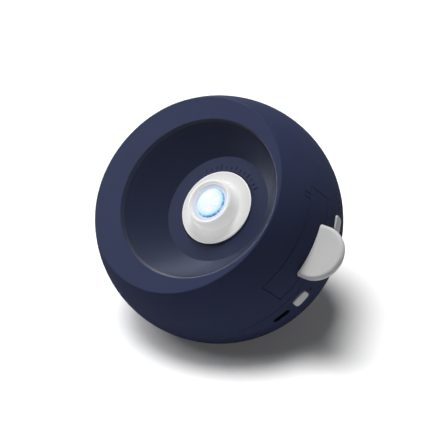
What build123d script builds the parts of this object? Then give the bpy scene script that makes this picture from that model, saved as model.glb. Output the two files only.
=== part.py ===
from build123d import *
from math import atan, cos, degrees, radians, sin, sqrt
import os

# A home planetarium projector: a ball with a slanted dish in its flat front, a focus ring that
# carries the projection lens, a star disc in a pull-out drawer, a lamp behind it and a battery.
# Most pieces are drawn in the ball's own frame: origin at the ball's centre, Z along the lens
# axis, X towards the drawer, Y towards the top of the dish. They are then tilted onto the table.

# ---------------------------------------------------------------- ball and stance
ball_radius = 60.0
wall = 2.4
inner_radius = ball_radius - wall
lens_elevation = 43.6
centre_height = 58.8
far = 2 * ball_radius

# ---------------------------------------------------------------- clearances
slip = 0.05
gap = 0.3
thread_slack = 0.04

# ---------------------------------------------------------------- flat ring, dish and floor
axis_x = 14.2
rim_height = 34.1
rim_thickness = 2.0
rim_round = 0.7
mouth_offset = 6.7
mouth_half_length = 41.4
mouth_half_width = 39.4
mouth_round = 0.8
dish_wall = 1.8
dish_belly = 0.9
floor_height = 25.7
floor_radius = 26.0
floor_thickness = 2.5
shelf_thickness = 1.8
shelf_inner = 22.3
plate_ledge = 0.15
plate_screw_reach = 24.2
plate_screw_angles = (30, 150, 270)
guide_screw_reach = 18.9
guide_screw_angles = (90, 210, 330)
dish_flange_grow = 8.0
dish_flange_thickness = 2.0
dish_screw_reach = 44.3
dish_screw_head = 3.2
dish_screw_angles = (100, 145, 215, 260)

# ---------------------------------------------------------------- shell joint
lip_outer = 57.4
lip_inner = 55.6
lip_rise = 2.0
lip_root = 4.0
seam_groove = 0.3
boss_edge = 0.6
post_root = 0.5 * wall
shell_screw_reach = 51.0
shell_screw_angles = (60, 120, 240, 300)
shell_post_radius = 3.6
shell_post_top = 27.0
shell_well_radius = 3.0
shell_well_floor = -9.6
shell_well_wall = 1.4

# ---------------------------------------------------------------- vents in the back
vent_radius = 1.1
vent_rings = ((0.0, 1), (5.0, 6), (10.0, 12), (15.0, 18))
vent_top = -48.0

# ---------------------------------------------------------------- foot, ballast and battery
foot_radius = 15.5
foot_thickness = 2.8
foot_round = 0.8
foot_groove = (10.0, 11.5, 0.6)
flat_level = 1.6
inner_floor = 6.3
ballast_radius = 16.0
ballast_top = 10.3
cell_radius = 9.1
cell_length = 65.0
cell_level = 22.7
cell_button = (3.2, 1.2)
low_shell_thickness = 0.2
cradle_length = 40.0
cradle_half_width = 13.0
cradle_top = 24.0
cradle_screw_offset = 11.2
cradle_thread = 7.0
cradle_screw_grip = 5.5
strap_place = -14.0
strap_width = 10.0
strap_thickness = 0.9
strap_screw_offset = 12.3
strap_screw_head = 1.5
strap_thread = 5.0
strap_screw_grip = 4.0
foot_well_radius = 2.3
foot_well_floor = 4.6

# ---------------------------------------------------------------- focus ring and lens barrel
ring_bore = 9.2
ring_top = 34.0
ring_rim = 0.95
flange_radius = 17.9
flange_top = 27.0
flange_bottom = 26.0
flange_edge = 0.5
flange_taper = 0.3
neck_fillet = 1.2
neck_slope = 11.0
skirt_outer = 14.0
skirt_inner = 12.4
skirt_bottom = 17.4
skirt_ceiling = 25.6
floor_bore = 14.5
trench_radius = 18.6
trench_depth = 0.5
clip_groove = (17.85, 18.5, 13.4)
clip_outer = 15.3
clip_mouth = 4.0
guide_bore = skirt_outer + 0.08
guide_outer = 16.4
guide_bottom = 18.6
guide_flange = 21.5
focus_turn = 55.0
focus_travel = 1.3
slot_overrun = 7.0
slot_steps = 16
slot_reach = (11.2, 15.2)
pin_radius = 0.88
pin_level = 21.0
pin_reach = (8.15, 15.2)
pin_angles = (0, 180)
barrel_outer = 9.1
barrel_inner = 8.0
barrel_bottom = 18.4
barrel_top = 32.7
barrel_mouth = 7.45
barrel_lip = 1.2
barrel_round = 0.3
lens_radius = 7.9
front_lens_edge = (28.6, 31.4)
front_lens_crowns = (1.4, 0.85)
rear_lens_edge = (20.9, 22.9)
rear_lens_crowns = (0.0, 1.6)
retainer_edge = (19.4, 20.8)
spacer_z = (23.3, 28.2)
retainer_bore = 6.5
retainer_slot = (1.2, 0.6)
scale_ticks = 13
scale_step = 7.5
scale_radii = (19.4, 21.2)
scale_depth = 0.25
scale_line = 0.4
scale_long_tick = 0.8
scale_long_every = 3
scale_middle = 90.0
plate_thread = 1.8
plate_screw_grip = 1.6

# ---------------------------------------------------------------- drawer and star disc
opening_y = 25.8
opening_z = (5.2, 18.9)
opening_x = 30.0
panel_thickness = 2.6
key_y = (20.2, 21.9)
key_top = 22.0
key_root = 6.2
tab_half_width = 13.1
tab_z = (5.6, 9.4)
tab_centre = 62.3
tab_corner = 3.0
tab_round = 1.8
tab_peg_radius = 1.6
tab_peg_x = 56.9
tab_peg_length = 5.0
tab_screw = dict(radius=0.75, head=2.2, head_height=0.9)
tab_screw_reach = 7.0
tab_thread = 9.0
tab_peg_y = 6.0
tab_peg_z = 7.5
panel_post_y = 15.0
panel_post_z = 12.2
panel_post_radius = 2.6
panel_thread = 5.0
panel_screw_reach = 4.5
tray_z = (8.0, 9.6)
tray_half_width = 23.4
tray_wall = 1.4
tray_top = 16.5
tray_inner_end = -4.0
tray_outer_end = 49.0
tray_end_wall = 2.0
tray_nose_radius = 21.0
tray_rim_top = 13.5
tray_arm = 3.9
disc_hub_radius = 18.0
disc_bore = 15.6
disc_z = (9.9, 13.0)
disc_hub_bottom = 8.3
film_radius = 18.1
film_z = (10.95, 11.55)
clamp_inner = 16.4
clamp_z = (11.6, 12.9)
hook_angles = (-100, -40, 40, 100)
hook_radii = (20.9, 22.6)
hook_z = (13.4, 14.4)
hook_width = 4.0
hook_post = (22.0, 23.4)
tooth_module = 0.8
disc_teeth = 52
pinion_teeth = 10
gear_play = 0.15
tooth_root_play = 0.25
tooth_root_share = 0.27
tooth_tip_share = 0.11
bay_x = (-18.0, 46.8)
bay_half_width = 25.4
bay_wall = 1.7
bay_floor_z = (5.6, 7.4)
bay_top = 18.0
bay_lip = 1.8
bay_lip_thickness = 1.1
bay_rail_z = 7.7
bay_rail_y = (18.5, 22.5)
bay_light_hole = 15.0
bay_ear_x = 9.0
bay_ear_y = 28.0
bay_ear_radius = 3.2
bay_ear_z = (16.0, 18.0)
bay_post_top = 27.2
bay_thread = 6.0
bay_screw_grip = 5.0
bay_thread_floor = 0.3
bay_screw_end = 0.4

# ---------------------------------------------------------------- lamp and drive
housing_outer = 16.2
housing_inner = 14.6
housing_bottom = -11.1
housing_shelf = (12.8, -3.0, -1.5)
lamp_ear_angles = (30, 150, 270)
lamp_ear_reach = 18.0
lamp_ear_radius = 2.6
condenser_radius = 14.4
condenser_edge = (-1.4, 1.6)
condenser_crowns = (0.0, 3.2)
condenser_ring_z = (2.3, 3.5)
condenser_ring_width = 1.4
condenser_ring_mouth = 1.5
led_board_radius = 10.0
led_board_thickness = 1.6
led_board_notches = 6
led_board_notch = 1.6
led_size = 3.5
led_base = 0.8
led_dome = 1.5
sink_base = 3.0
sink_base_radius = 16.4
sink_radius = 15.0
sink_bottom = -26.5
sink_fins = 9
sink_fin = 1.3
motor_radius = 6.0
motor_z = (-15.0, 0.5)
motor_cap = 1.2
motor_flat = 5.0
gearbox_half = (6.0, 5.0)
motor_ear_y = 8.0
motor_ear_radius = 2.4
motor_ear_thickness = 1.4
shaft_radius = 1.0
shaft_z = (1.5, 13.4)
pinion_z = (10.1, 12.9)

# ---------------------------------------------------------------- board, port, buttons, lights
board_z = (-11.0, -9.4)
board_radius = 53.0
board_edge_x = 24.0
board_half_width = 33.0
board_notch = 21.6
board_posts = ((47.5, 0.0), (37.0, 30.0), (37.0, -30.0))
board_post_radius = 2.8
board_thread = 6.0
board_screw_grip = 5.0
port_angle = -31.3
port_size = (8.94, 3.26)
port_skin = 0.3
port_reach = (51.6, 58.9)
port_back = 1.5
port_clearance = 8.0
port_hole = (9.6, 3.9)
tongue_size = (6.7, 0.7)
upper_key_angle = 17.9
lower_key_angle = -19.6
button_size = (8.2, 6.9)
button_middle = -6.9
button_corner = 2.0
button_proud = 0.8
button_lip = 0.8
button_lip_reach = (53.9, 54.9)
button_round = 0.5
button_clearance = 9.0
switch_size = (6.0, 3.4)
switch_reach = (48.7, 52.7)
plunger_radius = 1.2
plunger_reach = (51.2, 53.9)
plunger_hole_end = 50.3
window_radius = 0.6
window_recess = 0.3
window_inner_reach = 55.6
window_hole_reach = 52.4
window_places = ((27.9, -5.8), (29.6, -8.0), (26.2, -7.5), (-13.7, -8.4))
light_reach = (51.2, 52.8)
light_size = (1.0, 1.0)

# ---------------------------------------------------------------- screws
small_screw = dict(radius=1.0, head=1.9, head_height=1.2)
shell_screw = dict(radius=1.5, head=2.7, head_height=2.0)
cross_width = 0.5
cross_depth = 0.6

# ---------------------------------------------------------------- small parts on the board
chip_places = (
    ((40.0, 8.0), (7.0, 7.0, 1.0)),
    ((41.0, -11.0), (4.0, 4.0, 0.9)),
    ((39.5, 22.5), (5.0, 5.0, 2.6)),
    ((46.5, 6.0), (2.0, 3.4, 1.0)),
    ((38.5, -20.0), (3.0, 1.8, 1.0)),
    ((43.5, -5.0), (1.6, 3.0, 0.8)),
)

FROM_BASE = (Align.CENTER, Align.CENTER, Align.MIN)
FROM_CORNER = (Align.MIN, Align.MIN, Align.MIN)
stance = Pos(0, 0, centre_height) * Rot(90 - lens_elevation, 0, 0)


# ================================================================ shared forms
def disc(radius, low, high, at=(0, 0)):
    """A round slug along Z between two heights."""
    return Pos(at[0], at[1], low) * Cylinder(radius, high - low, align=FROM_BASE)


def ring(outer, inner, low, high, at=(0, 0)):
    return disc(outer, low, high, at) - disc(inner, low, high, at)


def block(x, y, z):
    """A box between two values along each axis."""
    size = (x[1] - x[0], y[1] - y[0], z[1] - z[0])
    return Pos(x[0], y[0], z[0]) * Box(*size, align=FROM_CORNER)


def slab(low, high):
    return block((-far, far), (-far, far), (low, high))


def polar(angle, reach, centre_x=0.0):
    return (centre_x + reach * cos(radians(angle)), reach * sin(radians(angle)))


def outward(angle, near, away, radius, level):
    """A round bar that points out from the ball's Z axis at an angle."""
    bar = Pos(near, 0, level) * Rot(0, 90, 0) * Cylinder(radius, away - near, align=FROM_BASE)
    return Rot(0, 0, angle) * bar


def turned(outline):
    """A piece turned about the lens axis from its outline in radius and height."""
    face = Plane.XZ * make_face(outline)
    return Pos(axis_x, 0, 0) * revolve(face, Axis.Z)


def lens(radius, edge, crowns):
    """A round lens whose two faces bulge by the given crowns beyond its edge."""
    low, high = edge
    outline = [Line((radius, low), (radius, high))]
    outline += crown_arc(radius, high, crowns[1])
    outline += [Line((0, high + crowns[1]), (0, low - crowns[0]))]
    outline += crown_arc(radius, low, -crowns[0])
    return turned(outline)


def crown_arc(radius, height, crown):
    if crown == 0:
        return [Line((radius, height), (0, height))]
    face_radius = (radius**2 + crown**2) / (2 * abs(crown))
    half = radius / 2
    sag = face_radius - sqrt(face_radius**2 - half**2)
    middle = height + crown - sag * (1 if crown > 0 else -1)
    return [ThreePointArc((radius, height), (half, middle), (0, height + crown))]


def screw(at, seat, tip, radius, head, head_height):
    """A pan-head screw along Z: its head rests on the seat and its tip points to the tip height."""
    up = 1 if tip > seat else -1
    shank_low, shank_high = sorted((seat, tip))
    head_low, head_high = sorted((seat, seat - up * head_height))
    body = disc(radius - thread_slack, shank_low, shank_high, at) + disc(head, head_low, head_high, at)
    outer_face = seat - up * head_height
    cross_z = sorted((outer_face, outer_face + up * cross_depth))
    reach = head / 2
    half = cross_width / 2
    cross = block((at[0] - reach, at[0] + reach), (at[1] - half, at[1] + half), cross_z)
    cross += block((at[0] - half, at[0] + half), (at[1] - reach, at[1] + reach), cross_z)
    return body - cross


def group(solids):
    """Several like pieces as one."""
    first, *others = solids
    for solid in others:
        first += solid
    return first


def toothed_wheel(teeth, tip_radius, root_radius, low, high, first_angle):
    """A spur wheel whose teeth are drawn as straight-sided wedges with play."""
    pitch_angle = 360 / teeth
    corners = []
    for tooth in range(teeth):
        middle = first_angle + tooth * pitch_angle
        corners += [
            polar(middle - tooth_root_share * pitch_angle, root_radius),
            polar(middle - tooth_tip_share * pitch_angle, tip_radius),
            polar(middle + tooth_tip_share * pitch_angle, tip_radius),
            polar(middle + tooth_root_share * pitch_angle, root_radius),
        ]
    outline = make_face(Polyline(*corners, close=True))
    return Pos(0, 0, low) * extrude(outline, high - low)


# ================================================================ front of the ball
def dish_form(grow=0.0):
    """The oblique hollow of the dish, from its floor to its mouth, made larger by a margin."""
    middle_height = (floor_height + rim_height) / 2
    middle_x = (mouth_offset + axis_x) / 2
    middle_length = (mouth_half_length + floor_radius) / 2 + dish_belly
    middle_width = (mouth_half_width + floor_radius) / 2 + dish_belly
    sections = [
        Pos(axis_x, 0, floor_height) * Ellipse(floor_radius + grow, floor_radius + grow - 0.001),
        Pos(middle_x, 0, middle_height) * Ellipse(middle_length + grow, middle_width + grow),
        Pos(mouth_offset, 0, rim_height) * Ellipse(mouth_half_length + grow, mouth_half_width + grow),
    ]
    return loft(sections)


def dish_screw_places():
    return [polar(angle, dish_screw_reach) for angle in dish_screw_angles]


def shell_screw_places():
    return [polar(angle, shell_screw_reach) for angle in shell_screw_angles]


def seam_cut():
    """The fine groove that shows where the two shells meet."""
    outer = ball_radius + seam_groove
    corners = ((ball_radius - seam_groove, 0), (outer, 2 * seam_groove), (outer, -2 * seam_groove))
    return revolve(Plane.XZ * make_face(Polyline(*corners, close=True)), Axis.Z)


def drawer_opening():
    """The rectangle that the drawer comes out of, with the slot for its key."""
    main = block((opening_x, far), (-opening_y, opening_y), opening_z)
    key = block((opening_x, far), (key_y[0] - gap, key_y[1] + gap), (key_root, key_top + gap))
    return main + key


def front_shell():
    skin = (Sphere(ball_radius) - Sphere(inner_radius)) & slab(0, rim_height)
    plate = Sphere(ball_radius - post_root) & slab(rim_height - rim_thickness, rim_height)
    shell = skin + plate
    for place in shell_screw_places():
        shell += disc(shell_post_radius, 0, shell_post_top, place) & Sphere(ball_radius - post_root)
    shell -= dish_form(dish_wall + gap) & slab(0, rim_height - rim_thickness)
    shell -= dish_form()
    boss_low = rim_height - rim_thickness - dish_flange_thickness
    boss_high = rim_height - rim_thickness / 2
    for place in dish_screw_places():
        shell += disc(small_screw["head"] + boss_edge, boss_low, boss_high, place)
        shell -= disc(small_screw["radius"], boss_low, boss_high + slip, place)
    for place in shell_screw_places():
        shell -= disc(shell_screw["radius"], 0, -shell_well_floor + gap, place)
    shell -= drawer_opening()
    shell -= seam_cut()
    mouth = level_edges(shell, rim_height).sort_by(SortBy.LENGTH)[0]
    shell = fillet(mouth, mouth_round)
    outer = level_edges(shell, rim_height).sort_by(SortBy.LENGTH)[-1]
    return fillet(outer, rim_round)


def level_edges(piece, height):
    """The edges that lie flat at a height."""
    return piece.edges().filter_by_position(Axis.Z, height - slip / 5, height + slip / 5)


def dish():
    below_ring = rim_height - rim_thickness
    outer = dish_form(dish_wall) & slab(floor_height, below_ring)
    shelf_bottom = floor_height - floor_thickness - shelf_thickness
    base_radius = floor_radius + dish_wall + 2 * plate_ledge
    body = outer + disc(base_radius, shelf_bottom, floor_height + plate_ledge, (axis_x, 0))
    flange_low = below_ring - dish_flange_thickness
    flange = extrude(
        Pos(mouth_offset, 0, flange_low)
        * Ellipse(mouth_half_length + dish_flange_grow, mouth_half_width + dish_flange_grow),
        dish_flange_thickness,
    )
    body += flange & Sphere(inner_radius - slip)
    for place in bay_ear_places():
        body += disc(bay_ear_radius, bay_ear_z[1], bay_post_top, place)
    body -= dish_form()
    body -= disc(floor_radius + plate_ledge, floor_height - floor_thickness, floor_height, (axis_x, 0))
    body -= disc(shelf_inner, shelf_bottom, floor_height, (axis_x, 0))
    for place in dish_screw_places():
        body -= disc(small_screw["head"] + boss_edge + slip, flange_low, below_ring, place)
    for place in bay_ear_places():
        body -= disc(small_screw["radius"], bay_ear_z[1], bay_ear_z[1] + bay_thread, place)
    for place in plate_screw_places():
        body -= disc(small_screw["radius"] + gap, shelf_bottom, floor_height, place)
    return body


def bay_ear_places():
    return [
        (axis_x + side_x * bay_ear_x, side_y * bay_ear_y)
        for side_x in (-1, 1)
        for side_y in (-1, 1)
    ]


def plate_screw_places():
    return [polar(angle, plate_screw_reach, axis_x) for angle in plate_screw_angles]


def guide_screw_places():
    return [polar(angle, guide_screw_reach, axis_x) for angle in guide_screw_angles]


def floor_plate():
    low = floor_height - floor_thickness
    plate = ring(floor_radius + plate_ledge - slip, floor_bore, low, floor_height, (axis_x, 0))
    plate -= disc(trench_radius, floor_height - trench_depth, floor_height, (axis_x, 0))
    for place in plate_screw_places() + guide_screw_places():
        plate -= disc(small_screw["radius"], low, low + plate_thread, place)
    half = scale_line / 2
    mark_z = (floor_height - scale_depth, floor_height)
    for tick in range(scale_ticks):
        angle = scale_middle + (tick - (scale_ticks - 1) / 2) * scale_step
        longer = scale_long_tick if tick % scale_long_every == 0 else 0
        mark = block((scale_radii[0], scale_radii[1] + longer), (-half, half), mark_z)
        plate -= Pos(axis_x, 0, 0) * Rot(0, 0, angle) * mark
    return plate


# ================================================================ focus ring and lens
def focus_ring():
    """White ring: a skirt in its bearing, a flat flange, a sloping neck and a rounded rim."""
    rim_middle = ring_bore + ring_rim
    rim_side = ring_top - ring_rim
    neck = ring_bore + 2 * ring_rim
    slope_cos, slope_sin = cos(radians(neck_slope)), sin(radians(neck_slope))
    foot_z = flange_top + neck_fillet
    foot_x = neck + (neck_fillet + (rim_side - foot_z) * slope_sin) / slope_cos
    turn = radians((90 + neck_slope) / 2)
    foot_middle = (foot_x - neck_fillet * cos(turn), foot_z - neck_fillet * sin(turn))
    neck_end = (foot_x - neck_fillet * slope_cos, foot_z - neck_fillet * slope_sin)
    edge_middle = (1 - cos(radians(45))) * flange_edge
    flange_low_radius = flange_radius - flange_taper
    outline = [
        Line((skirt_inner, skirt_bottom), (skirt_inner, skirt_ceiling)),
        Line((skirt_inner, skirt_ceiling), (ring_bore, skirt_ceiling)),
        Line((ring_bore, skirt_ceiling), (ring_bore, rim_side)),
        ThreePointArc((ring_bore, rim_side), (rim_middle, ring_top), (neck, rim_side)),
        Line((neck, rim_side), neck_end),
        ThreePointArc(neck_end, foot_middle, (foot_x, flange_top)),
        Line((foot_x, flange_top), (flange_radius - flange_edge, flange_top)),
        ThreePointArc(
            (flange_radius - flange_edge, flange_top),
            (flange_radius - edge_middle, flange_top - edge_middle),
            (flange_radius, flange_top - flange_edge),
        ),
        Line((flange_radius, flange_top - flange_edge), (flange_low_radius, flange_bottom)),
        Line((flange_low_radius, flange_bottom), (skirt_outer, flange_bottom)),
        Line((skirt_outer, flange_bottom), (skirt_outer, skirt_bottom)),
        Line((skirt_outer, skirt_bottom), (skirt_inner, skirt_bottom)),
    ]
    body = turned(outline)
    body -= ring(skirt_outer + 1, clip_groove[2], clip_groove[0], clip_groove[1], (axis_x, 0))
    for angle in pin_angles:
        body -= Pos(axis_x, 0, 0) * Rot(0, 0, angle) * slanted_slot()
    return body


def slanted_slot():
    """The slanted slot that pushes a barrel pin along as the ring turns."""
    half_turn = focus_turn + slot_overrun
    pitch = focus_travel / focus_turn
    slot_half = pin_radius + gap
    step_angle = 2 * half_turn / slot_steps
    half_length = radians(step_angle / 2) * skirt_outer
    middle = (skirt_inner + skirt_outer) / 2
    tilt = Rot(degrees(atan(pitch / radians(middle))), 0, 0)
    bridge = tilt * block(slot_reach, (-half_length, half_length), (-slot_half, slot_half))
    holes = [-half_turn + step * step_angle for step in range(slot_steps + 1)]
    cutter = group([outward(angle, *slot_reach, slot_half, pin_level + angle * pitch) for angle in holes])
    for angle in holes[:-1]:
        turn = angle + step_angle / 2
        cutter += Rot(0, 0, turn) * Pos(0, 0, pin_level + turn * pitch) * bridge
    return cutter


def focus_clip():
    low, high = clip_groove[0] + slip, clip_groove[1] - slip
    clip = ring(clip_outer, clip_groove[2] + slip, low, high, (axis_x, 0))
    return clip - block((axis_x, far), (-clip_mouth, clip_mouth), (low, high))


def focus_guide():
    """Fixed bearing tube under the floor plate, with a straight groove for each barrel pin."""
    flange_low = floor_height - floor_thickness - shelf_thickness
    top = floor_height - floor_thickness
    body = disc(guide_outer, guide_bottom, top, (axis_x, 0))
    body += disc(guide_flange, flange_low, top, (axis_x, 0))
    body -= disc(guide_bore, guide_bottom, top, (axis_x, 0))
    half = pin_radius + gap
    for angle in pin_angles:
        groove = block((0, pin_reach[1] + gap), (-half, half), (guide_bottom, top))
        body -= Pos(axis_x, 0, 0) * Rot(0, 0, angle) * groove
    for place in guide_screw_places():
        body -= disc(small_screw["radius"] + slip, flange_low, top, place)
    return body


def lens_barrel():
    body = ring(barrel_outer, barrel_inner, barrel_bottom, barrel_top, (axis_x, 0))
    body += ring(barrel_outer, barrel_mouth, barrel_top - barrel_lip, barrel_top, (axis_x, 0))
    body = fillet(level_edges(body, barrel_top), barrel_round)
    hole_start = pin_reach[0] - slip
    for angle in pin_angles:
        body -= Pos(axis_x, 0, 0) * outward(angle, hole_start, pin_reach[1], pin_radius + slip / 5, pin_level)
    return body


def barrel_pins():
    pins = [
        Pos(axis_x, 0, 0) * outward(angle, pin_reach[0], pin_reach[1], pin_radius, pin_level)
        for angle in pin_angles
    ]
    return group(pins)


def front_lens():
    return lens(lens_radius, front_lens_edge, front_lens_crowns)


def rear_lens():
    return lens(lens_radius, rear_lens_edge, rear_lens_crowns)


def lens_spacer():
    return ring(lens_radius, lens_radius - 1, spacer_z[0], spacer_z[1], (axis_x, 0))


def lens_retainer():
    body = ring(lens_radius + slip, retainer_bore, retainer_edge[0], retainer_edge[1], (axis_x, 0))
    width, depth = retainer_slot
    slot_z = (retainer_edge[0], retainer_edge[0] + depth)
    for turn in (0, 90):
        slot = block((-far, far), (-width / 2, width / 2), slot_z)
        body -= Pos(axis_x, 0, 0) * Rot(0, 0, turn) * slot
    return body


# ================================================================ drawer
def along_x(radius, near, away, y, z):
    """A round bar along X."""
    return Pos(near, y, z) * Rot(0, 90, 0) * Cylinder(radius, away - near, align=FROM_BASE)


def drawer_panel():
    """Curved cover of the drawer, flush with the ball, with a key so that it goes in one way."""
    skin = Sphere(ball_radius) - Sphere(ball_radius - panel_thickness)
    half = opening_y - gap
    panel = skin & block((opening_x, far), (-half, half), (opening_z[0] + gap, opening_z[1] - gap))
    panel += skin & block((opening_x, far), key_y, (key_root + gap, key_top))
    post_limit = Sphere(ball_radius - panel_thickness / 2)
    thread_end = tray_outer_end + panel_thread
    for side in (-1, 1):
        post_y, peg_y = side * panel_post_y, side * tab_peg_y
        panel += along_x(panel_post_radius, tray_outer_end, far, post_y, panel_post_z) & post_limit
        panel -= along_x(small_screw["radius"], tray_outer_end, thread_end, post_y, panel_post_z)
        panel -= along_x(tab_peg_radius + slip, opening_x, far, peg_y, tab_peg_z)
        panel -= along_x(tab_screw["head"] + gap, opening_x, tab_peg_x, peg_y, tab_peg_z)
    return panel


def drawer_tab():
    """Thumb tab: a rounded plate that follows the ball and is held to the panel by two pegs."""
    half = tab_half_width
    back = ball_radius - 2 * tab_round
    corner_x = sqrt(back**2 - half**2)
    outline = make_face([
        ThreePointArc((corner_x, -half), (back, 0), (corner_x, half)),
        Line((corner_x, half), (tab_centre, half)),
        ThreePointArc((tab_centre, half), (tab_centre + half, 0), (tab_centre, -half)),
        Line((tab_centre, -half), (corner_x, -half)),
    ])
    outline = fillet(outline.vertices().sort_by(Axis.X)[:2], tab_corner)
    plate = Pos(0, 0, tab_z[0]) * extrude(outline, tab_z[1] - tab_z[0])
    plate = fillet(level_edges(plate, tab_z[0]) + level_edges(plate, tab_z[1]), tab_round)
    plate -= Sphere(ball_radius + gap)
    for side in (-1, 1):
        peg_y = side * tab_peg_y
        plate += along_x(tab_peg_radius, tab_peg_x, tab_peg_x + tab_peg_length, peg_y, tab_peg_z)
        plate -= along_x(tab_screw["radius"], tab_peg_x, tab_peg_x + tab_thread, peg_y, tab_peg_z)
    return plate


def tab_screws():
    one = Rot(0, 90, 0) * screw((0, 0), tab_peg_x, tab_peg_x + tab_screw_reach, **tab_screw)
    return group([Pos(0, side * tab_peg_y, tab_peg_z) * one for side in (-1, 1)])


def tray_screws():
    seat = tray_outer_end - tray_end_wall
    one = Rot(0, 90, 0) * screw((0, 0), seat, tray_outer_end + panel_screw_reach, **small_screw)
    return group([Pos(0, side * panel_post_y, panel_post_z) * one for side in (-1, 1)])


def disc_tray():
    """Open-ended tray: floor with the bearing bore, side walls, end wall and hooks for the disc."""
    body = disc(tray_nose_radius, tray_z[0], tray_z[1], (axis_x, 0))
    body += block((axis_x, tray_outer_end), (-tray_half_width, tray_half_width), tray_z)
    for side in (-1, 1):
        arm_y = sorted((side * (tray_half_width - tray_arm), side * tray_half_width))
        wall_y = sorted((side * (tray_half_width - tray_wall), side * tray_half_width))
        body += block((tray_inner_end, axis_x), arm_y, tray_z)
        body += block((tray_inner_end, tray_outer_end), wall_y, (tray_z[0], tray_top))
    end_x = (tray_outer_end - tray_end_wall, tray_outer_end)
    body += block(end_x, (-tray_half_width, tray_half_width), (tray_z[0], tray_top))
    rim = ring(tray_half_width, tray_half_width - tray_wall, tray_z[0], tray_rim_top, (axis_x, 0))
    body += rim & block((axis_x, tray_outer_end), (-far, far), (tray_z[0], tray_rim_top))
    for angle in hook_angles:
        hook = block(hook_radii, (-hook_width / 2, hook_width / 2), hook_z)
        hook += block(hook_post, (-hook_width / 2, hook_width / 2), (tray_z[0], hook_z[1]))
        body += Pos(axis_x, 0, 0) * Rot(0, 0, angle) * hook
    body &= block((-far, far), (-tray_half_width, tray_half_width), (tray_z[0], tray_top))
    body -= disc(disc_hub_radius + slip, tray_z[0], tray_z[1], (axis_x, 0))
    for side in (-1, 1):
        body -= along_x(small_screw["radius"] + slip, *end_x, side * panel_post_y, panel_post_z)
    return body


def disc_gear():
    """Toothed carrier of the star film: it turns on a hub in the tray's bore."""
    pitch_radius = disc_teeth * tooth_module / 2
    tip = pitch_radius + tooth_module
    root = pitch_radius - tooth_module - tooth_root_play
    body = toothed_wheel(disc_teeth, tip, root, disc_z[0], disc_z[1], 0)
    body += disc(disc_hub_radius, disc_hub_bottom, disc_z[0])
    body -= disc(disc_bore, disc_hub_bottom, disc_z[1])
    body -= disc(film_radius + slip, film_z[0] - slip, disc_z[1])
    return Pos(axis_x, 0, 0) * body


def star_film():
    return disc(film_radius, film_z[0], film_z[1], (axis_x, 0))


def film_clamp():
    return ring(film_radius, clamp_inner, clamp_z[0], clamp_z[1], (axis_x, 0))


def pinion_place():
    distance = (disc_teeth + pinion_teeth) * tooth_module / 2 + gear_play
    return (axis_x - distance, 0)


def drive_pinion():
    pitch_radius = pinion_teeth * tooth_module / 2
    tip = pitch_radius + tooth_module
    root = pitch_radius - tooth_module - tooth_root_play
    half_pitch = 180 / pinion_teeth
    wheel = toothed_wheel(pinion_teeth, tip, root, pinion_z[0], pinion_z[1], half_pitch)
    x, y = pinion_place()
    return Pos(x, y, 0) * (wheel - disc(shaft_radius, pinion_z[0], pinion_z[1]))


def drive_shaft():
    return disc(shaft_radius, shaft_z[0], shaft_z[1], pinion_place())


def drawer_bay():
    """Fixed channel that the tray runs in, hung from the dish and carrying lamp and motor."""
    body = block(bay_x, (-bay_half_width, bay_half_width), bay_floor_z)
    for side in (-1, 1):
        wall_y = sorted((side * (bay_half_width - bay_wall), side * bay_half_width))
        lip_y = sorted((side * (bay_half_width - bay_wall - bay_lip), side * bay_half_width))
        rail_y = sorted((side * bay_rail_y[0], side * bay_rail_y[1]))
        body += block(bay_x, wall_y, (bay_floor_z[0], bay_top))
        body += block(bay_x, lip_y, (bay_top - bay_lip_thickness, bay_top))
        body += block((tray_inner_end, bay_x[1]), rail_y, (bay_floor_z[0], bay_rail_z))
    back_x = (bay_x[0], bay_x[0] + bay_wall)
    body += block(back_x, (-bay_half_width, bay_half_width), (bay_floor_z[0], bay_top))
    for x, y in bay_ear_places():
        inner = sorted((y, y / abs(y) * (bay_half_width - bay_wall / 2)))
        body += disc(bay_ear_radius, bay_ear_z[0], bay_ear_z[1], (x, y))
        body += block((x - bay_ear_radius, x + bay_ear_radius), inner, bay_ear_z)
    for place in bay_ear_places():
        body -= disc(small_screw["radius"] + slip, bay_ear_z[0], bay_ear_z[1], place)
    body -= disc(bay_light_hole, bay_floor_z[0], bay_rail_z, (axis_x, 0))
    body -= disc(shaft_radius + gap, bay_floor_z[0], bay_floor_z[1], pinion_place())
    for place in lamp_ear_places() + motor_ear_places():
        body -= disc(small_screw["radius"], bay_floor_z[0], bay_floor_z[1] - bay_thread_floor, place)
    return body


# ================================================================ lamp and drive motor
def lamp_ear_places():
    return [polar(angle, lamp_ear_reach, axis_x) for angle in lamp_ear_angles]


def motor_ear_places():
    x, y = pinion_place()
    return [(x, y - motor_ear_y), (x, y + motor_ear_y)]


def lamp_housing():
    top = bay_floor_z[0]
    body = disc(housing_outer, housing_bottom, top, (axis_x, 0))
    for place in lamp_ear_places():
        body += disc(lamp_ear_radius, housing_bottom, top, place)
    body -= disc(housing_inner, housing_bottom, top, (axis_x, 0))
    body += ring(housing_inner + slip, housing_shelf[0], housing_shelf[1], housing_shelf[2], (axis_x, 0))
    for place in lamp_ear_places():
        body -= disc(small_screw["radius"] + slip, housing_bottom, top, place)
    return body


def condenser_lens():
    return lens(condenser_radius, condenser_edge, condenser_crowns)


def condenser_ring():
    inner = condenser_radius - condenser_ring_width
    body = ring(condenser_radius + slip, inner, condenser_ring_z[0], condenser_ring_z[1], (axis_x, 0))
    return body - block((axis_x, far), (-condenser_ring_mouth, condenser_ring_mouth), condenser_ring_z)


def led_board():
    low = housing_bottom
    body = disc(led_board_radius, low, low + led_board_thickness, (axis_x, 0))
    for notch in range(led_board_notches):
        place = polar(notch * 360 / led_board_notches, led_board_radius, axis_x)
        body -= disc(led_board_notch, low, low + led_board_thickness, place)
    return body


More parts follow.
